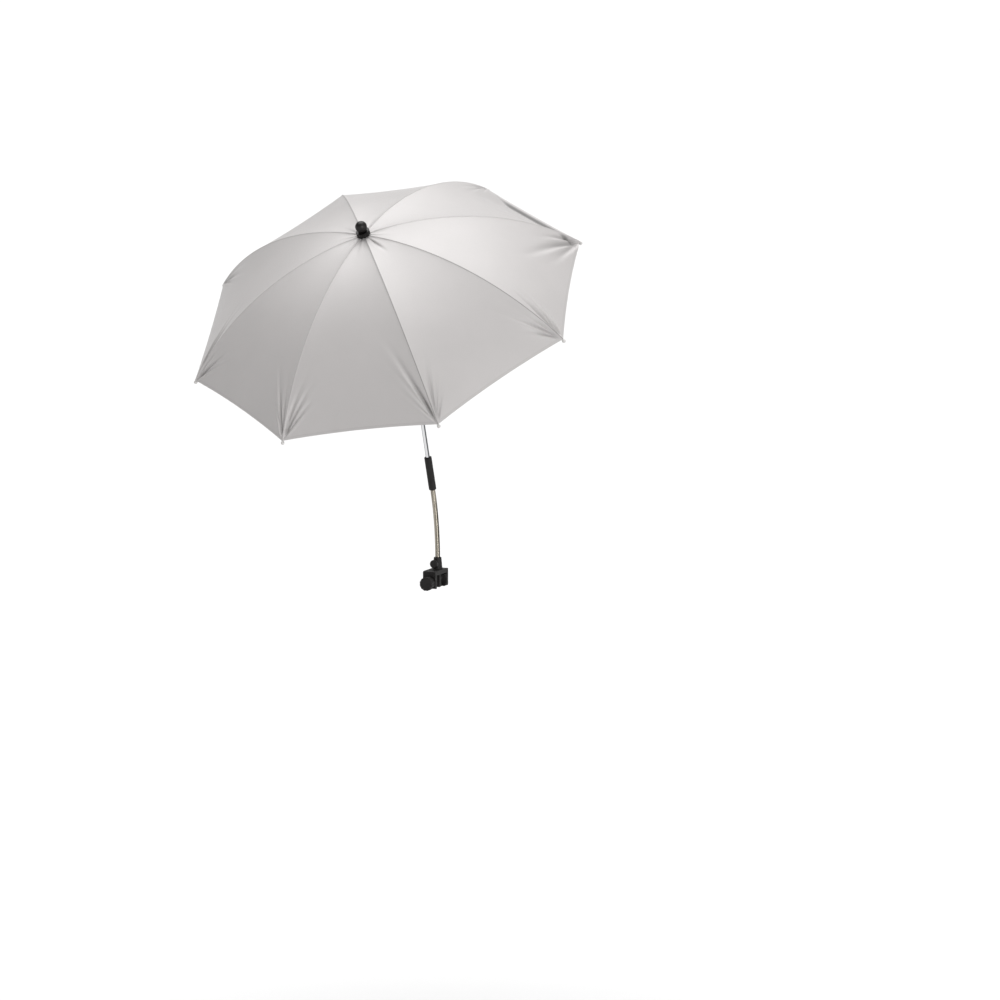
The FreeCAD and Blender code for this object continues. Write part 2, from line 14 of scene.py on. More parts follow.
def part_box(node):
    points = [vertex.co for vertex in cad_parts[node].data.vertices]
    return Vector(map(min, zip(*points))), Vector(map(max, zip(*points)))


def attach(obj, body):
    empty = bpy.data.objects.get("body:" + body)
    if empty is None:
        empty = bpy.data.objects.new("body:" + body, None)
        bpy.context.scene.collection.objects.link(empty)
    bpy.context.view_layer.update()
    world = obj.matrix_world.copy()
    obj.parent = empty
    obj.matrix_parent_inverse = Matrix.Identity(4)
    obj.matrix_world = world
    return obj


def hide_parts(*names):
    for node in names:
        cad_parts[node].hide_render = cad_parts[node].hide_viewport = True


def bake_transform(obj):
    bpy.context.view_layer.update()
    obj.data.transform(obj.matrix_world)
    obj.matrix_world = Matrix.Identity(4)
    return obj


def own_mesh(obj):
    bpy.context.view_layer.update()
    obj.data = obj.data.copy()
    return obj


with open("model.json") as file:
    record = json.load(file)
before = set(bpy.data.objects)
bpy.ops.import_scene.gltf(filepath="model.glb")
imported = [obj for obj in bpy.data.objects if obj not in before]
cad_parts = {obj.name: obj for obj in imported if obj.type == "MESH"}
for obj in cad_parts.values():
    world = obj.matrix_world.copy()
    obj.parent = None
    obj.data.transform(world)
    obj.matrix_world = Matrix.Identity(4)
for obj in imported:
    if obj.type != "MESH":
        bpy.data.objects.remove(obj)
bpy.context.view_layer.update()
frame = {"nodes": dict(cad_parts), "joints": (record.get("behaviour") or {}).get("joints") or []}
joints = {joint["name"]: joint for joint in frame["joints"]}


# %% One helper for every new object
def place_in_scene(name, data):
    """A new object for a mesh, lamp or camera, linked into the scene."""
    thing = bpy.data.objects.new(name, data)
    bpy.context.scene.collection.objects.link(thing)
    return thing


# %% [markdown]
# ## The parasol's own measures
# The cloth lies on the ribs, and each rib is bent into a part of a circle. So the whole canopy follows
# from a few lengths: how wide the ring of rib tips is, how far the cloth drops to it, and where its
# centre sits in space. The lean of the canopy is a turn about X, so one matrix carries canopy measures
# into the part's frame.

# %% Canopy measures
RIBS = 8
TIP_RING = 0.375
DROP = 0.177
FIRST_RIB = math.radians(-9.2)
LEAN = math.radians(34.4)
SHAFT_LEAN = math.radians(18.06)
CROWN_ABOVE_TILT = 0.415
HEM_BEFORE_TIP = 0.0035
CROWN_HOLE = 0.0052
STEP = 2 * math.pi / RIBS

half_turn = math.atan2(DROP, TIP_RING)
ARC = math.hypot(TIP_RING, DROP) / (2 * math.sin(half_turn))
TIP_ANGLE = 2 * half_turn
CLOTH_LENGTH = ARC * TIP_ANGLE - HEM_BEFORE_TIP - CROWN_HOLE

tilt_point = Vector(joints["canopy_tilt"]["pos_m"])
up_canopy = Vector((0, -math.sin(LEAN), math.cos(LEAN)))
crown = tilt_point + up_canopy * CROWN_ABOVE_TILT
canopy_to_part = Matrix.Translation(crown) @ Matrix.Rotation(LEAN, 4, "X")
print("cloth runs", round(CLOTH_LENGTH * 1000), "mm from the crown to the hem")
print("it lies on a circle of", round(ARC * 1000), "mm radius")

# %% [markdown]
# ## The camera
# A long lens far away flattens perspective the way a product photograph does. The view direction is an
# azimuth and an elevation; the camera then steps sideways and up in its own picture plane until the
# parasol sits in the upper left of the frame, as it does in the photograph.

# %% Camera
AZIMUTH = math.radians(24.36)
ELEVATION = math.radians(8.0)
SIDE, RISE, DISTANCE = 0.118, 0.1518, 6.63
SENSOR, LENS = 36.0, 126.0

level = math.cos(ELEVATION)
back = Vector((math.sin(AZIMUTH) * level, -math.cos(AZIMUTH) * level, math.sin(ELEVATION)))
right = Vector((math.cos(AZIMUTH), math.sin(AZIMUTH), 0))
above = back.cross(right)
eye = bpy.data.cameras.new("studio_camera")
eye.sensor_width = SENSOR
eye.lens = LENS
camera = place_in_scene("studio_camera", eye)
stand = Matrix.Translation(right * SIDE + above * RISE + back * DISTANCE)
camera.matrix_world = stand @ Matrix((right, above, back)).transposed().to_4x4()
bpy.context.scene.camera = camera
print("camera stands", round(camera.matrix_world.translation.length, 2), "m from the clamp")

# %% [markdown]
# ## Floor and light
# The parasol hangs in the air on a tube, so the floor is one wide pale plane far below the clamp. A
# studio would hang a large soft box overhead and a weaker one beside the camera. Here two sun lamps
# with wide discs do that: they light the far floor as evenly as the near one.

# %% Floor
FLOOR_LEVEL = -0.86
FLOOR_REACH = 400.0
FLOOR_GREY = 0.63
FLOOR_ROUGHNESS = 0.95


def pale_floor():
    mesh = bpy.data.meshes.new("pale_floor")
    corners = [(-1, -1), (1, -1), (1, 1), (-1, 1)]
    points = [(x * FLOOR_REACH, y * FLOOR_REACH, FLOOR_LEVEL) for x, y in corners]
    mesh.from_pydata(points, [], [(0, 1, 2, 3)])
    paint = bpy.data.materials.new("pale_floor_paint")
    paint.use_nodes = True
    shader = paint.node_tree.nodes["Principled BSDF"]
    shader.inputs["Base Color"].default_value = (FLOOR_GREY, FLOOR_GREY, FLOOR_GREY, 1)
    shader.inputs["Roughness"].default_value = FLOOR_ROUGHNESS
    mesh.materials.append(paint)
    floor = place_in_scene("pale_floor", mesh)
    return floor


print("floor at", round(pale_floor().data.vertices[0].co.z, 2), "m")

# %% Lamps
LIT_MIDDLE = Vector((0, -0.3, 0.4))
LAMP_REACH = 4.0


def wide_glow(name, way, power, spread):
    """A sun lamp with a wide disc that shines from one way at the middle of the part."""
    lamp = bpy.data.lights.new(name, "SUN")
    lamp.energy = power
    lamp.angle = math.radians(spread)
    glow = place_in_scene(name, lamp)
    glow.location = LIT_MIDDLE + Vector(way) * LAMP_REACH
    glow.rotation_euler = (LIT_MIDDLE - glow.location).to_track_quat("-Z", "Y").to_euler()
    return glow


lamps = [wide_glow("overhead_glow", (-0.14, 0.16, 0.977), 4.1, 60),
         wide_glow("side_glow", (0.76, -0.64, 0.1), 2.2, 30)]
print("lamps:", [glow.name for glow in lamps])

# %% [markdown]
# The room itself is a soft glow, brighter overhead and behind the part than in front, so that satin
# cloth has something to reflect. Near the horizon it is as white as the floor: then no line shows where
# the floor ends, whichever way the camera looks.

# %% Room glow
SKY_BRIGHTEST = (0.4, 0.42, 0.81)
SKY_EDGES, SKY_GLOW = (-0.3, 0.9), (0.0, 0.42)
HORIZON_EDGES, HORIZON_GLOW = (0.14, 0.19), (1.05, 0.0)

room = bpy.data.worlds.new("studio_room")
room.use_nodes = True
room_nodes = room.node_tree.nodes
room_links = room.node_tree.links


def room_node(kind, operation, *values):
    node = room_nodes.new(kind)
    node.operation = operation
    for place, value in enumerate(values):
        if isinstance(value, bpy.types.NodeSocket):
            room_links.new(value, node.inputs[place])
        else:
            node.inputs[place].default_value = value
    return node.outputs["Value"]


def room_range(value, edges, glow):
    node = room_nodes.new("ShaderNodeMapRange")
    for name, number in zip(("From Min", "From Max", "To Min", "To Max"), edges + glow):
        node.inputs[name].default_value = number
    room_links.new(value, node.inputs["Value"])
    return node.outputs["Result"]


room_way = room_nodes.new("ShaderNodeTexCoord").outputs["Generated"]
to_sky = room_node("ShaderNodeVectorMath", "DOT_PRODUCT", room_way, SKY_BRIGHTEST)
overhead = room_node("ShaderNodeVectorMath", "DOT_PRODUCT", room_way, (0.0, 0.0, 1.0))
sky = room_range(to_sky, SKY_EDGES, SKY_GLOW)
horizon = room_range(room_node("ShaderNodeMath", "ABSOLUTE", overhead), HORIZON_EDGES, HORIZON_GLOW)
brighter = room_node("ShaderNodeMath", "MAXIMUM", sky, horizon)
room_links.new(brighter, room_nodes["Background"].inputs["Strength"])
room_nodes["Background"].inputs["Color"].default_value = (1, 1, 1, 1)
bpy.context.scene.world = room
bpy.context.scene.view_settings.view_transform = "Standard"
print("room glow has", len(room_nodes), "nodes")

# %% [markdown]
# ## A small kit for finishes
# Every finish starts from the same shader, and differs in what its nodes add. A tiny helper that adds a
# node and wires its inputs keeps each recipe short enough to read like a list of ingredients.

# %% Finish helpers
class Finish:
    """One material, with short ways to add and wire nodes."""

    def __init__(self, name):
        self.material = bpy.data.materials.new(name)
        self.material.use_nodes = True
        self.tree = self.material.node_tree
        self.shader = self.tree.nodes["Principled BSDF"]

    def add(self, kind, settings=None, **wires):
        node = self.tree.nodes.new(kind)
        for key, value in (settings or {}).items():
            setattr(node, key, value)
        for key, value in wires.items():
            self.wire(value, node.inputs[key.replace("_", " ")])
        return node

    def wire(self, value, socket):
        if isinstance(value, bpy.types.NodeSocket):
            self.tree.links.new(value, socket)
        else:
            socket.default_value = value

    def math(self, kind, *values):
        node = self.add("ShaderNodeMath", {"operation": kind})
        for place, value in enumerate(values):
            self.wire(value, node.inputs[place])
        return node.outputs[0]

    def noise(self, vector, scale, detail=3.0, roughness=0.5):
        node = self.add("ShaderNodeTexNoise", Vector=vector, Scale=scale, Detail=detail,
                        Roughness=roughness)
        return node.outputs["Fac"]

    def ramp(self, value, low, high, start=0.0, end=1.0):
        node = self.add("ShaderNodeMapRange", Value=value)
        for name, number in zip(("From Min", "From Max", "To Min", "To Max"), (start, end, low, high)):
            node.inputs[name].default_value = number
        return node.outputs["Result"]

    def blend_colours(self, share, first, second):
        node = self.add("ShaderNodeMix", {"data_type": "RGBA"})
        self.wire(share, node.inputs["Factor"])
        self.wire(first, node.inputs[6])
        self.wire(second, node.inputs[7])
        return node.outputs[2]

    def place(self):
        return self.add("ShaderNodeTexCoord").outputs["Object"]

    def stored(self, label):
        """A number that the mesh stores on each of its points."""
        return self.add("ShaderNodeAttribute", {"attribute_name": label}).outputs["Fac"]

    def bump(self, height, strength, distance):
        node = self.add("ShaderNodeBump", Height=height)
        node.inputs["Strength"].default_value = strength
        node.inputs["Distance"].default_value = distance
        self.wire(node.outputs["Normal"], self.shader.inputs["Normal"])

    def set(self, **values):
        for key, value in values.items():
            self.wire(value, self.shader.inputs[key.replace("_", " ")])


print("finish kit:", [word for word in vars(Finish) if not word.startswith("_")])

# %% [markdown]
# ## Moulded and metal finishes
# Black mouldings are never one flat black: a fine spark-eroded grain breaks the gloss, and faint dust
# and rubbing lift the colour here and there. Bright metal is nearly mirror-like, so its detail is in the
# roughness: long polishing marks on the tubes, a duller satin on the wound neck.

# %% Black mouldings
MOULDING_BLACK = (0.006, 0.0052, 0.005, 1)
MOULDING_DUST = (0.013, 0.0118, 0.0115, 1)
MOULDING_SHINE = 0.24
DUST_SCALE = 55.0
GRAIN_HEIGHT = 0.00012


def black_moulding(name, grain, gloss):
    finish = Finish(name)
    place = finish.place()
    dust = finish.ramp(finish.noise(place, DUST_SCALE, 5.0), 0.0, 1.0, 0.35, 0.8)
    fine = finish.noise(place, grain, 2.0)
    finish.set(Base_Color=finish.blend_colours(dust, MOULDING_BLACK, MOULDING_DUST),
               Roughness=finish.ramp(fine, gloss - 0.06, gloss + 0.08, 0.3, 0.7))
    finish.shader.inputs["Specular IOR Level"].default_value = MOULDING_SHINE
    finish.bump(fine, 0.35, GRAIN_HEIGHT)
    return finish.material


matte_black = black_moulding("matte_black_moulding", 2600.0, 0.58)
gloss_black = black_moulding("gloss_black_moulding", 1400.0, 0.4)
rubber_black = black_moulding("black_rubber", 900.0, 0.8)
print("black finishes:", matte_black.name, gloss_black.name, rubber_black.name)

# %% Bright metals
MARK_SCALE = 900.0
MARK_HEIGHT = 0.00004
CLOUD_SCALE = 30.0


def bright_metal(name, gloss, stretch):
    """Bare metal with polishing marks; its colour is added afterwards."""
    finish = Finish(name)
    stretched = finish.add("ShaderNodeMapping", Vector=finish.place())
    stretched.inputs["Scale"].default_value = stretch
    marks = finish.noise(stretched.outputs["Vector"], MARK_SCALE, 4.0, 0.6)
    finish.set(Roughness=finish.ramp(marks, gloss * 0.7, gloss * 1.6, 0.3, 0.75))
    finish.shader.inputs["Metallic"].default_value = 1.0
    finish.bump(marks, 0.12, MARK_HEIGHT)
    return finish


def cloudy_metal(name, colour, dull, gloss, stretch):
    """Metal whose colour drifts between clean and dull."""
    finish = bright_metal(name, gloss, stretch)
    cloud = finish.noise(finish.place(), CLOUD_SCALE, 3.0)
    finish.set(Base_Color=finish.blend_colours(cloud, colour, dull))
    return finish.material


RIB_GREY, RIB_DULL = (0.62, 0.62, 0.62, 1), (0.5, 0.5, 0.5, 1)
ZINC_GREY, ZINC_DULL = (0.46, 0.47, 0.49, 1), (0.36, 0.37, 0.385, 1)
BRASS_CLEAN, BRASS_DULL = (0.72, 0.5, 0.2, 1), (0.6, 0.4, 0.15, 1)
rib_metal = cloudy_metal("plated_rib_wire", RIB_GREY, RIB_DULL, 0.3, (0.2, 0.2, 1))
zinc = cloudy_metal("zinc_plate", ZINC_GREY, ZINC_DULL, 0.34, (1, 1, 1))
brass = cloudy_metal("turned_brass", BRASS_CLEAN, BRASS_DULL, 0.28, (1, 0.1, 1))
print("plain metals:", rib_metal.name, zinc.name, brass.name)

# %% [markdown]
# Polished tubes show the room as long dark and bright bands. A white studio has little to mirror, so the
# bands are painted reflections in the finish's colour: each one sits at a turn round the tube and stays
# there, whichever way the tube is looked at. The wound neck shows the same painted reflections, broken
# up by its ridges.

# %% Mirrored bands
BAND_EDGE = 0.09
# Painted reflections: dark bands painted into the base colour of the tubes and the neck.
TUBE_BANDS = ((64, 20, 1.0), (106, 14, 0.4), (-36, 13, 0.8), (172, 16, 0.9), (255, 12, 0.8))
NECK_BANDS = ((72, 24, 1.0), (16, 9, 0.55), (-58, 10, 0.5), (172, 26, 0.8), (255, 14, 0.6))
CHROME_LIGHT, CHROME_DARK = (0.7, 0.7, 0.71, 1), (0.07, 0.07, 0.075, 1)
NECK_LIGHT, NECK_DARK = (0.34, 0.31, 0.26, 1), (0.045, 0.04, 0.032, 1)


def turn_about(finish, through, lean):
    """How far round a tube a point lies, from the front; the tube leans forward through a point."""
    place = finish.place()
    ahead = finish.add("ShaderNodeVectorMath", {"operation": "SUBTRACT"})
    finish.wire(place, ahead.inputs[0])
    ahead.inputs[1].default_value = through
    depth = finish.add("ShaderNodeVectorMath", {"operation": "DOT_PRODUCT"})
    finish.wire(ahead.outputs["Vector"], depth.inputs[0])
    depth.inputs[1].default_value = (0.0, -math.cos(lean), -math.sin(lean))
    across = finish.add("ShaderNodeSeparateXYZ", Vector=place).outputs["X"]
    return finish.math("ARCTAN2", across, depth.outputs["Value"])


def add_mirrored_bands(finish, turn, bands, light, dark):
    """Painted reflections: long dark bands along a tube; each has a turn, a half width in degrees and a
    strength.
    """
    share = 0.0
    for middle, half, strength in bands:
        off = finish.math("SUBTRACT", turn, math.radians(middle))
        edge = finish.math("ABSOLUTE", finish.math("WRAP", off, math.pi, -math.pi))
        reach = math.radians(half)
        band = finish.ramp(edge, strength, 0.0, reach - BAND_EDGE, reach + BAND_EDGE)
        share = finish.math("MAXIMUM", band, share)
    finish.set(Base_Color=finish.blend_colours(share, light, dark))
    return finish.material


chrome_of = {}
for tube, lean in (("lower_shaft_tube", SHAFT_LEAN), ("upper_shaft_tube", LEAN)):
    polished = bright_metal("polished_" + tube, 0.11, (1, 1, 0.05))
    turn = turn_about(polished, tuple(tilt_point), lean)
    chrome_of[tube] = add_mirrored_bands(polished, turn, TUBE_BANDS, CHROME_LIGHT, CHROME_DARK)
satin_wire = bright_metal("satin_neck_wire", 0.24, (1, 1, 1))
neck_turn = satin_wire.math("ARCTAN2", satin_wire.stored("neck_side"), satin_wire.stored("neck_front"))
neck_metal = add_mirrored_bands(satin_wire, neck_turn, NECK_BANDS, NECK_LIGHT, NECK_DARK)
tube_low, tube_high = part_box("lower_shaft_tube")
print("chromed tube is", round((tube_high[0] - tube_low[0]) * 1000, 2), "mm thick")

# %% [markdown]
# ## Dress the solids that stay
# Each CAD node keeps its shape, so only its material slots change. The nodes come in families, so a
# short table from name to finish does the work; what it doesn't list is matte black. The pale ball ends
# belong to the outer ribs, and their faces are found by their distance to the tip.

# %% Finishes for the CAD pieces
finish_of = {
    "lock_screw": gloss_black, "tilt_button": gloss_black,
    "finial_knob": gloss_black, "finial_collar": gloss_black,
    "fixed_jaw_pad": rubber_black, "moving_jaw_pad": rubber_black,
    "upper_shaft_tube": chrome_of["upper_shaft_tube"],
    "lower_shaft_tube": chrome_of["lower_shaft_tube"],
    "screw_nut": brass, "swivel_bolt": zinc, "tilt_pin": zinc, "crown_wire": zinc,
    "runner_wire": zinc, "tilt_spring": zinc, "runner_catch": zinc, "clamp_screw": zinc,
}
for name, node in frame["nodes"].items():
    family = rib_metal if name.startswith(("rib_", "stretcher_")) else matte_black
    node.data.materials.clear()
    node.data.materials.append(finish_of.get(name, family))
    for face in node.data.polygons:
        face.material_index = 0
print("dressed", len(frame["nodes"]), "solids")

# %% Pale ball ends
BALL_REACH = 0.0095
BALL_LIGHT, BALL_DULL = (0.52, 0.51, 0.5, 1), (0.44, 0.43, 0.42, 1)


def rib_turn(number):
    return FIRST_RIB + STEP * (number - 1)


def tip_place(number):
    turn = rib_turn(number)
    return canopy_to_part @ Vector((TIP_RING * math.cos(turn), TIP_RING * math.sin(turn), -DROP))


tip_plastic = Finish("pale_tip_plastic")
tip_cloud = tip_plastic.noise(tip_plastic.place(), 300.0, 3.0)
tip_plastic.set(Base_Color=tip_plastic.blend_colours(tip_cloud, BALL_LIGHT, BALL_DULL),
                Roughness=tip_plastic.ramp(tip_cloud, 0.3, 0.5))
ball_faces = 0
for number in range(1, RIBS + 1):
    outer = frame["nodes"][f"rib_{number}_outer"].data
    outer.materials.append(tip_plastic.material)
    near = tip_place(number)
    for face in outer.polygons:
        if (face.center - near).length < BALL_REACH:
            face.material_index = 1
            ball_faces += 1
print("faces on the ball ends:", ball_faces)

# %% [markdown]
# ## The cloth's finish
# The cloth is a tightly woven, silver-coated polyester. It could be painted as one grey, but the real
# one shows a fine weave, a soft cloudiness from handling, darker seam lines where two gores are felled
# over a rib, and a turned hem with a row of stitches. How dark the seam line is drawn on each rib is
# painted shade, stronger on some ribs than on others. Creases get a little painted shade, and a tight
# fold gets darker painted shade still. Numbers stored on each point of the mesh drive those: its
# distances to the seam, the hem and the crown, how deep its painted shade is, and how dark its seam
# line is painted.

# %% Cloth finish
THREAD_PITCH = 0.0009
SEAM_LINE = (0.0005, 0.001)
HEM_BAND = (0.0052, 0.0058)
STITCH_ROW, STITCH_HALF = 0.0047, 0.0004
STITCH_LENGTH, STITCH_FILL = 0.0032, 0.68
# Painted shade: creases and the tight fold of the rolled hem are darkened by how deep they are.
CREASE_EDGES, CREASE_SHARE = (0.0004, 0.009), 0.75
FOLD_EDGES, FOLD_SHARE = (0.011, 0.02), 0.68
WEAVE_SHARE, HEM_SHARE, STITCH_SHARE = 0.14, 0.1, 0.5
CLOTH_LIGHT = (0.418, 0.402, 0.398, 1)
CLOTH_DARK = (0.393, 0.378, 0.374, 1)
CLOTH_SHADE = (0.29, 0.28, 0.275, 1)
SEAM_SHADE = (0.13, 0.126, 0.122, 1)
FOLD_SHADE = (0.035, 0.034, 0.033, 1)
WEAVE_HEIGHT = 0.00012


def hem_stitches(cloth, seam, hem):
    off_row = cloth.math("ABSOLUTE", cloth.math("SUBTRACT", hem, STITCH_ROW))
    on_row = cloth.math("LESS_THAN", off_row, STITCH_HALF)
    beat = cloth.math("FRACT", cloth.math("MULTIPLY", seam, 1 / STITCH_LENGTH))
    return cloth.math("MULTIPLY", on_row, cloth.math("LESS_THAN", beat, STITCH_FILL))


def coated_cloth():
    cloth = Finish("silver_coated_cloth")
    seam, hem, crease = (cloth.stored(label) for label in ("from_seam", "from_hem", "in_crease"))
    place = cloth.place()
    thread = 2 * math.pi / THREAD_PITCH
    warp = cloth.math("SINE", cloth.math("MULTIPLY", seam, thread))
    weft = cloth.math("SINE", cloth.math("MULTIPLY", cloth.stored("from_crown"), thread))
    weave = cloth.math("MULTIPLY", warp, weft)
    cloud = cloth.noise(place, 7.0, 4.0, 0.55)
    fibre = cloth.noise(place, 700.0, 3.0)
    seam_line = cloth.ramp(seam, 1.0, 0.0, *SEAM_LINE)
    # The seam line is a dark joint; how strongly it is drawn on each rib is painted shade.
    seam_line = cloth.math("MULTIPLY", seam_line, cloth.stored("seam_shade_by_rib"))
    hem_band = cloth.ramp(hem, 1.0, 0.0, *HEM_BAND)
    stitch = hem_stitches(cloth, seam, hem)
    grey = cloth.blend_colours(cloth.ramp(cloud, 0.0, 1.0, 0.3, 0.7), CLOTH_DARK, CLOTH_LIGHT)
    grey = cloth.blend_colours(cloth.ramp(weave, 0.0, WEAVE_SHARE, -1.0, 1.0), grey, CLOTH_SHADE)
    grey = cloth.blend_colours(cloth.math("MULTIPLY", hem_band, HEM_SHARE), grey, CLOTH_SHADE)
    # Painted shade in the creases, and darker painted shade in the tight fold.
    grey = cloth.blend_colours(cloth.ramp(crease, 0.0, CREASE_SHARE, *CREASE_EDGES), grey, SEAM_SHADE)
    grey = cloth.blend_colours(cloth.ramp(crease, 0.0, FOLD_SHARE, *FOLD_EDGES), grey, FOLD_SHADE)
    grey = cloth.blend_colours(seam_line, grey, SEAM_SHADE)
    grey = cloth.blend_colours(cloth.math("MULTIPLY", stitch, STITCH_SHARE), grey, CLOTH_SHADE)
    cloth.set(Base_Color=grey, Roughness=cloth.ramp(fibre, 0.46, 0.58, 0.3, 0.7))
    cloth.shader.inputs["Metallic"].default_value = 0.1
    cloth.shader.inputs["Sheen Weight"].default_value = 0.12
    cloth.shader.inputs["Sheen Roughness"].default_value = 0.4
    height = cloth.math("ADD", cloth.math("MULTIPLY", weave, 0.5), cloth.math("MULTIPLY", fibre, 0.4))
    height = cloth.math("ADD", height, cloth.math("MULTIPLY", hem_band, 2.0))
    cloth.bump(height, 0.3, WEAVE_HEIGHT)
    return cloth.material


cloth_finish = coated_cloth()
print("cloth finish has", len(cloth_finish.node_tree.nodes), "nodes")

# %% [markdown]
# ## The canopy's surface as one formula
# A parasol's cloth is taut along the ribs and hangs a little between them, so across each gore it
# follows a shallow curve through one rib, a lower middle and the next rib. Writing that as one function
# of "how far along the rib" and "how far across the gore" gives a single continuous surface, whichever
# way it is cut into pieces later.

# %% Gore curve
GORE_SAG = 0.0024
CROWN_SAG = 0.03
HEM_SCALLOP = 0.005
FIRST_TURN = CROWN_HOLE / ARC
LAST_TURN = TIP_ANGLE - HEM_BEFORE_TIP / ARC


def smooth(value, start, end):
    share = min(1.0, max(0.0, (value - start) / (end - start)))
    return share * share * (3 - 2 * share)


def half_width(share):
    return ARC * math.sin(FIRST_TURN + (LAST_TURN - FIRST_TURN) * share) * math.sin(STEP / 2)


def bare_gore(share, across):
    """Half a gore: share runs from crown to hem, across from the rib (0) to the middle (1)."""
    turn = FIRST_TURN + (LAST_TURN - FIRST_TURN) * share
    middle = turn - HEM_SCALLOP / ARC * share ** 3
    sag = GORE_SAG * (CROWN_SAG + math.sin(math.pi * share ** 0.8) + share / 2)
    rib_x = ARC * math.sin(turn) * math.cos(STEP / 2)
    rib_z = ARC * math.cos(turn) - ARC
    low_x = ARC * math.sin(middle) * math.cos(STEP / 2) - sag * math.sin(middle)
    low_z = ARC * math.cos(middle) - ARC - sag * math.cos(middle)
    pull = (1 - across) ** 2
    x = low_x + (rib_x - low_x) * pull
    z = low_z + (rib_z - low_z) * pull
    return x, half_width(share) * (1 - across), z, turn


hem_drops = [round(-bare_gore(1, across)[2] * 1000, 1) for across in (0, 1)]
print("hem drops in mm, at a rib and in mid gore:", hem_drops)

# %% [markdown]
# ## Creases at the tips and the crown
# The hem is sewn to each rib end, and the pull gathers the cloth there into a few short, sharp creases
# that open like a fan. Each crease is a narrow valley along a line from the tip, deep near the tip and
# gone a hand's breadth away. Each side of each rib gets its own angles and lengths from a fixed shuffle,
# because sewing never repeats itself. One rib end, beside a rolled hem, has three wider ones.

# %% Where the creases lie
PUCKERED_GORE = 8
FOLDED_GORE = 2
GATHERED = {(1, -1): 1.5, (1, 1): 1.6, (2, 1): 1.4, (6, 1): 1.7, (7, -1): 1.8, (7, 1): 1.3,
            (8, -1): 1.5, (8, 1): 1.5}
CREASE_TURNS = (11.0, 22.0, 35.0)
CREASE_REACHES = (0.07, 0.062, 0.042)
CREASE_DEPTHS = (0.005, 0.0065, 0.0045)
TURN_SPREAD = 5
TUCKED_CREASES = ((19, 0.045, 0.012, 1.3), (41, 0.085, 0.010, 2.0), (63, 0.062, 0.009, 2.2))


def shuffle(seed):
    """A number from 0 to 1 that looks random and is the same in every run."""
    return math.fmod(abs(math.sin(seed * 12.9898) * 43758.5453), 1.0)


def tip_creases(number, side):
    """Angle from the rib, reach, depth and width of each crease on one side of a rib end."""
    if (number, side) == (FOLDED_GORE, -1):
        return [(math.radians(turn), reach, depth, width) for turn, reach, depth, width in TUCKED_CREASES]
    seed = number * 2.0 + (1 if side > 0 else 0)
    creases = []
    for place, turn in enumerate(CREASE_TURNS):
        angle = math.radians(turn + TURN_SPREAD * (shuffle(seed + 17 * place) - 0.5))
        reach = CREASE_REACHES[place] * (0.75 + 0.5 * shuffle(seed + 31 * place))
        depth = CREASE_DEPTHS[place] * (0.6 + 0.8 * shuffle(seed + 47 * place))
        creases.append((angle, reach, depth * GATHERED.get((number, side), 1.0), 1.0))
    return creases


CREASES = {(number, side): tip_creases(number, side) for number in range(1, RIBS + 1) for side in (-1, 1)}
print("creases on one rib, in degrees from it:",
      [round(math.degrees(crease[0])) for crease in CREASES[1, 1] + CREASES[1, -1]])

# %% [markdown]
# On one far gore the hem has rolled up, and the slack cloth in front of it hangs lower. The foot of such
# a roll, and the place where the cloth is tucked in at its end, see almost no light. A fine cloth mesh
# could be folded over there, but two painted shade lines on a gentle dip give the same look and can't
# tear.

# %% Rolled hem
FOLD_RISE, FOLD_FALL = (0.01, 0.14), (0.66, 0.9)
SLACK_DROP = 0.009
SLACK_RISE, SLACK_FALL = (0.007, 0.016), (0.03, 0.13)
# Painted shade: a dark line at the foot of the roll, and a dark patch where the cloth is tucked in.
FOOT_BELOW, FOOT_WIDTH, FOOT_SHADE = 0.0124, 0.0022, 0.021
TUCK_BELOW, TUCK_ASIDE, TUCK_TURN = 0.027, 0.0093, math.radians(16)
TUCK_LENGTH, TUCK_WIDTH, TUCK_SHADE = 0.015, 0.0036, 0.018


def gore_of(number, side):
    return number if side > 0 else (number - 2) % RIBS + 1


def from_tip(share, across):
    """How far a point of the cloth lies from the hem, and how far from the rib."""
    return (1 - share) * CLOTH_LENGTH, across * half_width(share)


def hem_fold(number, side, across):
    """How far the hem has rolled up here, on the one gore where it has."""
    if gore_of(number, side) != FOLDED_GORE:
        return 0.0
    along_hem = across / 2 if side > 0 else 1 - across / 2
    return smooth(along_hem, *FOLD_RISE) * (1 - smooth(along_hem, *FOLD_FALL))


def fold_height(number, side, share, across):
    """The slack cloth in front of the rolled hem hangs lower than the hem."""
    below = from_tip(share, across)[0]
    slack = smooth(below, *SLACK_RISE) * (1 - smooth(below, *SLACK_FALL))
    return -SLACK_DROP * hem_fold(number, side, across) * slack


def fold_shade(number, side, share, across):
    """Painted shade line at the foot of the rolled hem."""
    line = (from_tip(share, across)[0] - FOOT_BELOW) / FOOT_WIDTH
    return FOOT_SHADE * hem_fold(number, side, across) * math.exp(-line * line)


def tuck_shade(number, side, share, across):
    """Deep painted shade where the cloth is tucked in beside the end of the rolled hem."""
    if (number, side) != (FOLDED_GORE, -1):
        return 0.0
    below, aside = from_tip(share, across)
    below, aside = below - TUCK_BELOW, aside - TUCK_ASIDE
    along = (below * math.cos(TUCK_TURN) - aside * math.sin(TUCK_TURN)) / TUCK_LENGTH
    off = (below * math.sin(TUCK_TURN) + aside * math.cos(TUCK_TURN)) / TUCK_WIDTH
    return TUCK_SHADE * math.exp(-off * off - along * along)


folded = [number for number in range(1, RIBS + 1) if hem_fold(number, 1, 1.0) > 0]
print("gores with a rolled hem:", folded)

# %% [markdown]
# A crease is a valley with a soft bank beside it. Round the crown the cloth has small waves between the
# seams, and one gore has a short pucker beside the finial. All of them fade out at the seams and in mid
# gore, so that neighbouring pieces still meet.

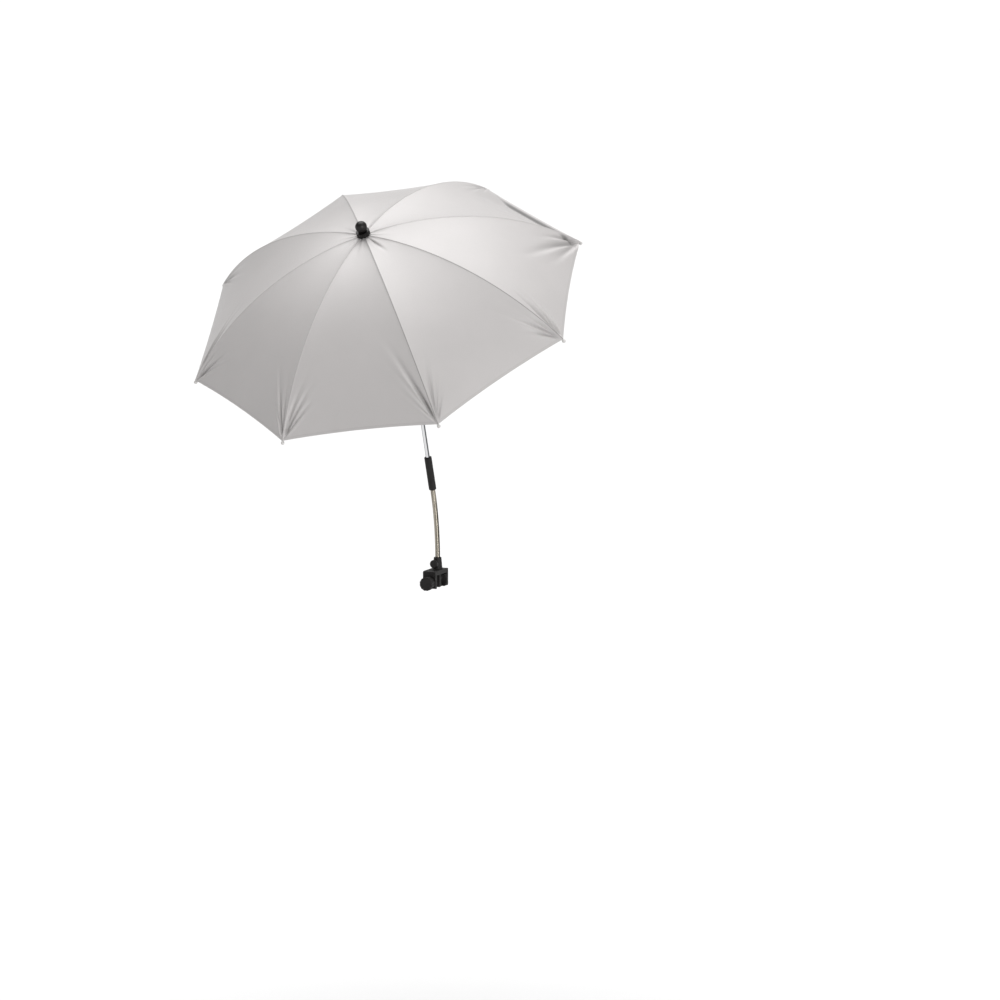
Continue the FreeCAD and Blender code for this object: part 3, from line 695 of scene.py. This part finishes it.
# %% Crease heights
CREASE_RANGE = 0.26
TIP_EASE = 0.02
VALLEY_WIDTH, VALLEY_SPREAD = 0.0022, 0.035
BANK_WIDTH, BANK_SPREAD, BANK_TURN, BANK_SHARE = 0.0025, 0.05, 0.08, 0.45
WAVE_RANGE, WAVE_DEPTH, WAVE_PLACE, WAVE_REACH = 0.12, 0.001, 0.012, 0.03
PUCKER_DEPTH, PUCKER_PLACE, PUCKER_REACH = 0.0028, 0.03, 0.024
PUCKER_WIDTH, PUCKER_SPREAD = 0.0009, 0.05
SEAM_EASE, MIDDLE_EASE = 0.06, 0.3


def gathered_height(number, side, below, aside):
    away = math.hypot(below, aside)
    if away >= CREASE_RANGE:
        return 0.0
    swing = math.atan2(aside, below + 1e-9)
    height = 0.0
    for angle, reach, depth, width in CREASES[number, side]:
        fade = depth * smooth(away, 0.0, TIP_EASE) * math.exp(-(away / reach) ** 2)
        line = (swing - angle) * away / (VALLEY_WIDTH + VALLEY_SPREAD * away) / width
        bank = (swing - angle - BANK_TURN) * away / (BANK_WIDTH + BANK_SPREAD * away) / width
        height += fade * (BANK_SHARE * math.exp(-bank * bank) - math.exp(-line * line))
    return height


def crown_wave(number, side, up, across):
    if up >= WAVE_RANGE:
        return 0.0
    wave = math.sin(math.pi * across) * (0.4 + shuffle(number * 5.0 + side))
    return -WAVE_DEPTH * wave * math.exp(-((up - WAVE_PLACE) / WAVE_REACH) ** 2)


def crown_pucker(number, side, up, from_middle):
    if gore_of(number, side) != PUCKERED_GORE:
        return 0.0
    line = from_middle / (PUCKER_WIDTH + PUCKER_SPREAD * up)
    return -PUCKER_DEPTH * math.exp(-((up - PUCKER_PLACE) / PUCKER_REACH) ** 2) * math.exp(-line * line)


def crease_height(number, side, share, across):
    """How far creases, waves and the pucker move the cloth out of its plain curve."""
    below, aside = from_tip(share, across)
    up = share * CLOTH_LENGTH
    height = gathered_height(number, side, below, aside) + crown_wave(number, side, up, across)
    height *= smooth(across, 0.0, SEAM_EASE) * smooth(1 - across, 0.0, MIDDLE_EASE)
    return height + crown_pucker(number, side, up, (1 - across) * half_width(share))


depths = [-crease_height(1, 1, 0.95, place / 100) for place in range(101)]
print("deepest crease 21 mm above one hem:", round(max(depths) * 1000, 1), "mm")

# %% [markdown]
# ## Cutting the cloth into pieces that can fold
# Real cloth crumples between the ribs when the parasol closes. A rigid mesh can't, so the surface is cut
# along the middle of each gore, where nothing shows while it is open, and each strip follows its own
# rib: an inner length and an outer length, as the rib itself bends there. A strip's normals come from
# the formula and not from its own faces, so light runs over the cuts without a line.

# %% Points and normals of the cloth
SEAM_RIDGE = 0.0005
SEAM_WIDTH = 0.0016
NEAR = 2e-4


def cloth_point(number, side, share, across):
    """Point of the cloth beside a rib, in the part's frame; side is +1 or -1 round the crown."""
    x, y, z, turn = bare_gore(share, across)
    lift = crease_height(number, side, share, across) + fold_height(number, side, share, across)
    ridge = math.exp(-(across * half_width(share) / SEAM_WIDTH) ** 2)
    lift += SEAM_RIDGE * ridge * smooth(share, 0.0, 0.1)
    local = Vector((x + lift * math.sin(turn), -side * y, z + lift * math.cos(turn)))
    gore_turn = rib_turn(number) + side * STEP / 2
    return canopy_to_part @ (Matrix.Rotation(gore_turn, 4, "Z") @ local)


def cloth_normal(number, side, share, across):
    low, high = max(0.0, share - NEAR), min(1.0, share + NEAR)
    left, wide = max(0.0, across - NEAR), min(1.0, across + NEAR)
    down = cloth_point(number, side, high, across) - cloth_point(number, side, low, across)
    round_crown = cloth_point(number, side, share, wide) - cloth_point(number, side, share, left)
    return (down.cross(round_crown) * side).normalized()


print("the cloth faces up the canopy:", round(cloth_normal(1, 1, 0.5, 0.5).dot(up_canopy), 2))

# %% Rows and columns of a strip
FLEX_SHARE = (ARC * math.radians(21.9) - CROWN_HOLE) / CLOTH_LENGTH
FLEX_BOW = 0.027
SEAM_ROWS = (0.001, 0.0022, 0.004)
ACROSS_COUNT = 42
CROWDING = 1.5
STRIP_ROWS = {"inner": 44, "outer": 112}
HEM_CROWDING = 1.4


def across_steps(share):
    """Where the columns lie: three close ones beside the seam, then wider ones to the middle."""
    wide = max(half_width(share), 1e-4)
    close = [min(row / wide, 0.03 * (place + 1)) for place, row in enumerate(SEAM_ROWS)]
    rest = [(place / ACROSS_COUNT) ** CROWDING for place in range(1, ACROSS_COUNT + 1)]
    return [0.0] + close + [close[-1] + (1 - close[-1]) * step for step in rest]


def strip_share(length, way, across):
    """Share along the rib at a share of a strip's length; the cut bows out away from the rib."""
    cut = FLEX_SHARE + FLEX_BOW / CLOTH_LENGTH * across ** 2
    return cut * way if length == "inner" else cut + (1 - cut) * way


def strip_cell(number, side, share, across):
    """Point, normal, share along the rib, distance to the seam, and depth of painted shade."""
    where = (number, side, share, across)
    normal = cloth_normal(*where)
    if across == 0.0:
        normal = (normal + cloth_normal(number, -side, share, across)).normalized()
    depth = max(0.0, -crease_height(*where), fold_shade(*where), tuck_shade(*where))
    return cloth_point(*where), normal, share, across * half_width(share), depth


def strip_grid(number, length):
    rows = STRIP_ROWS[length]
    grid = []
    for row in range(rows + 1):
        way = row / rows if length == "inner" else 1 - (1 - row / rows) ** HEM_CROWDING
        steps = across_steps(strip_share(length, way, 0.0))
        places = [(-1, across) for across in reversed(steps)] + [(1, across) for across in steps[1:]]
        grid.append([strip_cell(number, side, strip_share(length, way, across), across)
                     for side, across in places])
    return grid


print("columns across a strip:", 2 * len(across_steps(1.0)) - 1, "rows:", STRIP_ROWS)

# %% Cloth strips
CLOTH_THICKNESS = 0.0005
# How strongly each rib's seam line is painted: painted shade, stronger on some ribs than others.
SEAM_SHADE_BY_RIB = (0.75, 0.22, 0.4, 0.55, 0.35, 0.25, 0.2, 0.65)


def shell_faces(rows, columns):
    """Faces of a thin closed shell: outside and inside in turn, then the rim."""
    count = rows * columns
    faces = []
    for row in range(rows - 1):
        for column in range(columns - 1):
            start = row * columns + column
            outer = (start, start + columns, start + columns + 1, start + 1)
            faces.append(outer)
            faces.append(tuple(count + corner for corner in reversed(outer)))
    rim = [row * columns for row in range(rows)]
    rim += [(rows - 1) * columns + column for column in range(1, columns)]
    rim += [row * columns + columns - 1 for row in range(rows - 2, -1, -1)]
    rim += list(range(columns - 2, 0, -1))
    for first, second in zip(rim, rim[1:] + rim[:1]):
        faces.append((first, count + first, count + second, second))
    return faces


def cloth_strip(number, length):
    """One strip of cloth as a thin shell, and the area of one of its sides."""
    grid = strip_grid(number, length)
    rows, columns = len(grid), len(grid[0])
    points, normals, shares, asides, shades = zip(*[cell for line in grid for cell in line])
    under = [point - normal * CLOTH_THICKNESS for point, normal in zip(points, normals)]
    mesh = bpy.data.meshes.new(f"cloth_{number}_{length}")
    mesh.from_pydata(list(points) + under, [], shell_faces(rows, columns))
    labels = {
        "from_seam": list(asides),
        "from_crown": [share * CLOTH_LENGTH for share in shares],
        "from_hem": [(1 - share) * CLOTH_LENGTH for share in shares],
        "in_crease": list(shades),
        "seam_shade_by_rib": [SEAM_SHADE_BY_RIB[number - 1]] * len(points),
    }
    for label, values in labels.items():
        mesh.attributes.new(label, "FLOAT", "POINT").data.foreach_set("value", values * 2)
    mesh.polygons.foreach_set("use_smooth", [True] * len(mesh.polygons))
    mesh.normals_split_custom_set_from_vertices(list(normals) + [-normal for normal in normals])
    mesh.materials.append(cloth_finish)
    outside = list(mesh.polygons)[0:2 * (rows - 1) * (columns - 1):2]
    return place_in_scene(mesh.name, mesh), sum(face.area for face in outside)


cloth_strips = {(number, length): cloth_strip(number, length)
                for number in range(1, RIBS + 1) for length in ("inner", "outer")}
cloth_area = sum(area for strip, area in cloth_strips.values())
print("cloth strips:", len(cloth_strips), "cloth in all:", round(cloth_area, 3), "square metres")

# %% [markdown]
# ## Riding on the ribs
# Each strip rides on its rib and moves with it as the ribs fold, and the CAD canopy is hidden.

for (number, length), (strip, area) in cloth_strips.items():
    rib = f"rib_{number}_{length}"
    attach(strip, rib)
    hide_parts("canopy")
    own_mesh(strip)
print("one gore is", round(CLOTH_LENGTH * 1000), "mm long and",
      round(2000 * half_width(1.0)), "mm wide at the hem")

# %% [markdown]
# ## The wound gooseneck
# A gooseneck is a round wire wound tight with a second, three-cornered wire in its grooves, so it bends
# and stays. The CAD model has a ringed core with one joint in the middle. Here it is one smooth tube
# along the bent line, with the winding as real ridges, and its bend is spread evenly over its whole
# length between the clamp's socket and the black sleeve.

# %% The neck's line
NECK_BASE = 0.044
NECK_LENGTH = 0.1347
neck_bend = NECK_LENGTH / SHAFT_LEAN


def neck_line(length):
    """Centre and direction of the neck at a length above the socket; straight beyond its ends."""
    if length < 0:
        return Vector((0, 0, NECK_BASE + length)), Vector((0, 0, 1))
    inside = min(length, NECK_LENGTH)
    turn = inside / neck_bend
    ahead = Vector((0, -math.sin(turn), math.cos(turn)))
    fall = -neck_bend * (1 - math.cos(turn))
    place = Vector((0, fall, NECK_BASE + neck_bend * math.sin(turn)))
    return place + ahead * (length - inside), ahead


print("the neck ends", round(neck_line(NECK_LENGTH)[0].z * 1000), "mm above the clamp's middle")

# %% Gooseneck
NECK_RADIUS = 0.00475
NECK_PITCH = 0.0021
GROOVE = 0.00042
NECK_SPOKES = 40
RINGS_PER_PITCH = 10
BAND_TWIST, TWIST_REACH = -2.2, 0.016
IN_SOCKET, IN_SLEEVE = 0.004, 0.005


def rod_faces(steps, around):
    """Faces of a closed rod whose points run ring by ring, with a flat cap at each end."""
    faces = [tuple(range(around))[::-1], tuple(steps * around + spoke for spoke in range(around))]
    for step in range(steps):
        for spoke in range(around):
            following = (spoke + 1) % around
            faces.append((step * around + spoke, step * around + following,
                          (step + 1) * around + following, (step + 1) * around + spoke))
    return faces


def wound_length(name, start, end):
    """The winding from one length to another; its painted reflection bands swing round near the top."""
    steps = int((end - start) / NECK_PITCH * RINGS_PER_PITCH)
    side = Vector((1, 0, 0))
    points, sides, fronts = [], [], []
    for step in range(steps + 1):
        length = start + (end - start) * step / steps
        twist = BAND_TWIST * math.exp((length - NECK_LENGTH) / TWIST_REACH)
        place, ahead = neck_line(length)
        front = ahead.cross(side)
        for spoke in range(NECK_SPOKES):
            turn = 2 * math.pi * spoke / NECK_SPOKES
            phase = (length / NECK_PITCH + spoke / NECK_SPOKES) % 1.0
            ridge = math.sqrt(max(0.0, 1 - (2 * phase - 1) ** 2))
            radius = NECK_RADIUS - GROOVE + GROOVE * ridge
            points.append(place + side * (radius * math.cos(turn)) + front * (radius * math.sin(turn)))
            sides.append(math.cos(turn + twist))
            fronts.append(-math.sin(turn + twist))
    mesh = bpy.data.meshes.new(name)
    mesh.from_pydata(points, [], rod_faces(steps, NECK_SPOKES))
    mesh.attributes.new("neck_side", "FLOAT", "POINT").data.foreach_set("value", sides)
    mesh.attributes.new("neck_front", "FLOAT", "POINT").data.foreach_set("value", fronts)
    mesh.polygons.foreach_set("use_smooth", [True] * len(mesh.polygons))
    mesh.materials.append(neck_metal)
    return place_in_scene(name, mesh)


gooseneck = wound_length("gooseneck_winding", -IN_SOCKET, NECK_LENGTH + IN_SLEEVE)
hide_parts("neck_lower", "neck_upper")
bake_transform(gooseneck)
print("gooseneck:", round(NECK_LENGTH * 1000), "mm free,", round(NECK_LENGTH / NECK_PITCH), "turns of wire")

# %% [markdown]
# ## The clamp screw's thread
# The screw moves the jaw by four millimetres in each turn, which a coarse thread with two starts does.
# It could be a swept coil, but a rod whose radius rises and falls with the turn is simpler and stays
# inside the plain CAD cylinder. The crests are flat, as rolled threads are, and both ends are chamfered
# so that the screw enters its nut.

# %% Clamp screw
SCREW_LEAD = 0.004
THREAD_STARTS = 2
THREAD_DEPTH = 0.0006
FLANK, ROOT = 3.2, 0.3
CHAMFER = 0.0008
SCREW_SPOKES = 36
RINGS_PER_LEAD = 28


def thread_radius(rod_radius, along, turn, to_end):
    phase = (THREAD_STARTS * (along / SCREW_LEAD - turn / (2 * math.pi))) % 1.0
    crest = min(1.0, max(0.0, FLANK * (0.5 - abs(phase - 0.5)) - ROOT))
    return rod_radius - THREAD_DEPTH * (1 - crest) - max(0.0, CHAMFER - to_end)


def threaded_rod(name, low, high):
    rod_radius = (high[0] - low[0]) / 2
    centre_x, centre_z = (low[0] + high[0]) / 2, (low[2] + high[2]) / 2
    steps = int((high[1] - low[1]) / SCREW_LEAD * RINGS_PER_LEAD)
    points = []
    for step in range(steps + 1):
        along = low[1] + (high[1] - low[1]) * step / steps
        to_end = min(along - low[1], high[1] - along)
        for spoke in range(SCREW_SPOKES):
            turn = 2 * math.pi * spoke / SCREW_SPOKES
            radius = thread_radius(rod_radius, along, turn, to_end)
            points.append((centre_x + radius * math.sin(turn), along, centre_z + radius * math.cos(turn)))
    mesh = bpy.data.meshes.new(name)
    mesh.from_pydata(points, [], rod_faces(steps, SCREW_SPOKES))
    mesh.materials.append(zinc)
    return place_in_scene(name, mesh)


screw_low, screw_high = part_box("clamp_screw")
screw = threaded_rod("clamp_screw_thread", screw_low, screw_high)
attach(screw, "screw")
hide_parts("clamp_screw")
print("screw:", round(1000 * (screw_high[1] - screw_low[1])), "mm long,", len(screw.data.polygons), "faces")

# %% [markdown]
# ## The spring behind the tilt button
# A coil spring pushes the button out again. The CAD model has the coil at rest; a copy of its mesh rides
# on the button's stem in its place.

cad_coil = frame["nodes"]["tilt_spring"]
coil = place_in_scene("button_spring", cad_coil.data.copy())
coil.matrix_world = cad_coil.matrix_world
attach(coil, "stem")
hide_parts("tilt_spring")
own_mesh(coil)

# %% [markdown]
